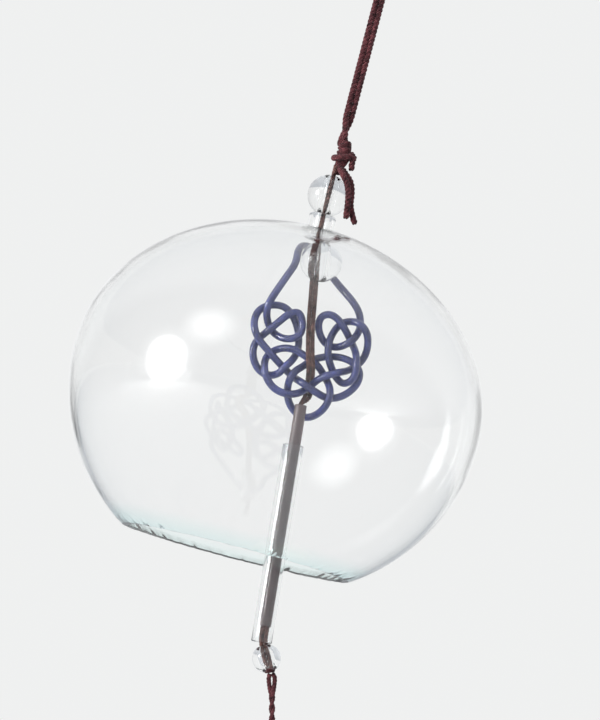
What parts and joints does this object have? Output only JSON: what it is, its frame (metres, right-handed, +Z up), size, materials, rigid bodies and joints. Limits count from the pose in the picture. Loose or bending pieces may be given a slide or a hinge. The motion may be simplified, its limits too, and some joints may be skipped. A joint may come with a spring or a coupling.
{
  "type": "furin wind bell",
  "caption": "Round clear glass wind bell on a doubled cord, with glass beads, a blue decorative knot and a glass tube clapper inside, and a paper strip on its pull cord.",
  "frame": {"origin": "the seat of the hook inside the hanging loop, on the bell's axis", "axes": "+Z up the bell's axis, -Y towards the viewer, +X to the viewer's right; the pieces under the crown are stored as the wind holds them in the picture"},
  "size_m": [0.0915, 0.08, 0.2374],
  "materials": {
    "maroon_cord": "twisted cord, dark maroon, matt",
    "brown_cord": "twisted cord, brown maroon, matt",
    "bell_glass": "clear blown glass, faint aqua at the rim",
    "bead_glass": "clear polished glass",
    "tube_glass": "clear drawn glass",
    "clear_sleeve": "thin clear flexible sleeve",
    "blue_strand": "shiny slate blue cord",
    "paper": "plain stiff paper"
  },
  "bodies": {
    "hanger": {"hanging_loop": "maroon_cord"},
    "hanging_cord": {"hanging_strand_left": "maroon_cord", "hanging_strand_right": "maroon_cord"},
    "inner_cord": {"hanging_knot": "maroon_cord", "cord_tail_long": "maroon_cord", "cord_tail_short": "maroon_cord", "inner_strand_left": "brown_cord", "inner_strand_right": "brown_cord", "inner_bead": "bead_glass", "blue_knot": "blue_strand"},
    "bell": {"glass_bell": "bell_glass"},
    "upper_bead": {"upper_bead": "bead_glass"},
    "link": {"link_strand_left": "brown_cord", "link_strand_right": "brown_cord"},
    "clapper_cord": {"sleeve_strand_left": "brown_cord", "sleeve_strand_right": "brown_cord", "inner_sleeve": "clear_sleeve", "stop_knot": "maroon_cord"},
    "tube": {"glass_tube": "tube_glass"},
    "bottom_bead": {"bottom_bead": "bead_glass"},
    "pull_strands": {"pull_strand_left": "maroon_cord", "pull_strand_right": "maroon_cord"},
    "pull_twist": {"pull_twist": "maroon_cord"},
    "strip_loop": {"strip_knot": "maroon_cord", "strip_loop": "maroon_cord"},
    "strip": {"paper_strip": "paper"}
  },
  "joints": [
    {"name": "bell_swing_front_back", "type": "hinge", "parent": "hanger", "child": "hanging_cord", "pos_m": [0, 0, -0.01085], "axis": [1, 0, 0], "range_deg": [-20, 20]},
    {"name": "bell_swing_sideways", "type": "hinge", "parent": "hanging_cord", "child": "inner_cord", "pos_m": [0, 0, -0.03905], "axis": [0, 1, 0], "range_deg": [-20, 20]},
    {"name": "bell_turn", "type": "hinge", "parent": "inner_cord", "child": "bell", "pos_m": [0, 0, -0.05375], "axis": [0, 0, 1], "continuous": true},
    {"name": "upper_bead_turn", "type": "hinge", "parent": "inner_cord", "child": "upper_bead", "pos_m": [0, 0, -0.04985], "axis": [0, 0, 1], "continuous": true},
    {"name": "clapper_swing_front_back", "type": "hinge", "parent": "inner_cord", "child": "link", "pos_m": [0.0059, 0.00228, -0.08835], "axis": [1, 0, 0], "range_deg": [-8, 8]},
    {"name": "clapper_swing_sideways", "type": "hinge", "parent": "link", "child": "clapper_cord", "pos_m": [0.00511, -0.00005, -0.09022], "axis": [0, 1, 0], "range_deg": [-16, 38]},
    {"name": "tube_turn", "type": "hinge", "parent": "clapper_cord", "child": "tube", "pos_m": [0.00561, -0.00029, -0.09834], "axis": [0.0925, 0, -0.9957], "continuous": true},
    {"name": "bottom_bead_turn", "type": "hinge", "parent": "clapper_cord", "child": "bottom_bead", "pos_m": [0.0109, -0.00029, -0.13936], "axis": [0.5042, 0, -0.8636], "continuous": true},
    {"name": "pull_swing_sideways", "type": "hinge", "parent": "clapper_cord", "child": "pull_strands", "pos_m": [0.01239, -0.00029, -0.14191], "axis": [0, 1, 0], "range_deg": [-20, 20]},
    {"name": "pull_swing_front_back", "type": "hinge", "parent": "pull_strands", "child": "pull_twist", "pos_m": [0.01357, -0.0003, -0.14559], "axis": [1, 0, 0], "range_deg": [-20, 20]},
    {"name": "strip_turn", "type": "hinge", "parent": "pull_twist", "child": "strip_loop", "pos_m": [0.01567, -0.00029, -0.15359], "axis": [0.2521, 0, -0.9677], "continuous": true},
    {"name": "strip_swing", "type": "hinge", "parent": "strip_loop", "child": "strip", "pos_m": [0.01806, -0.00029, -0.16278], "axis": [0, 1, 0], "range_deg": [-20, 20]}
  ]
}
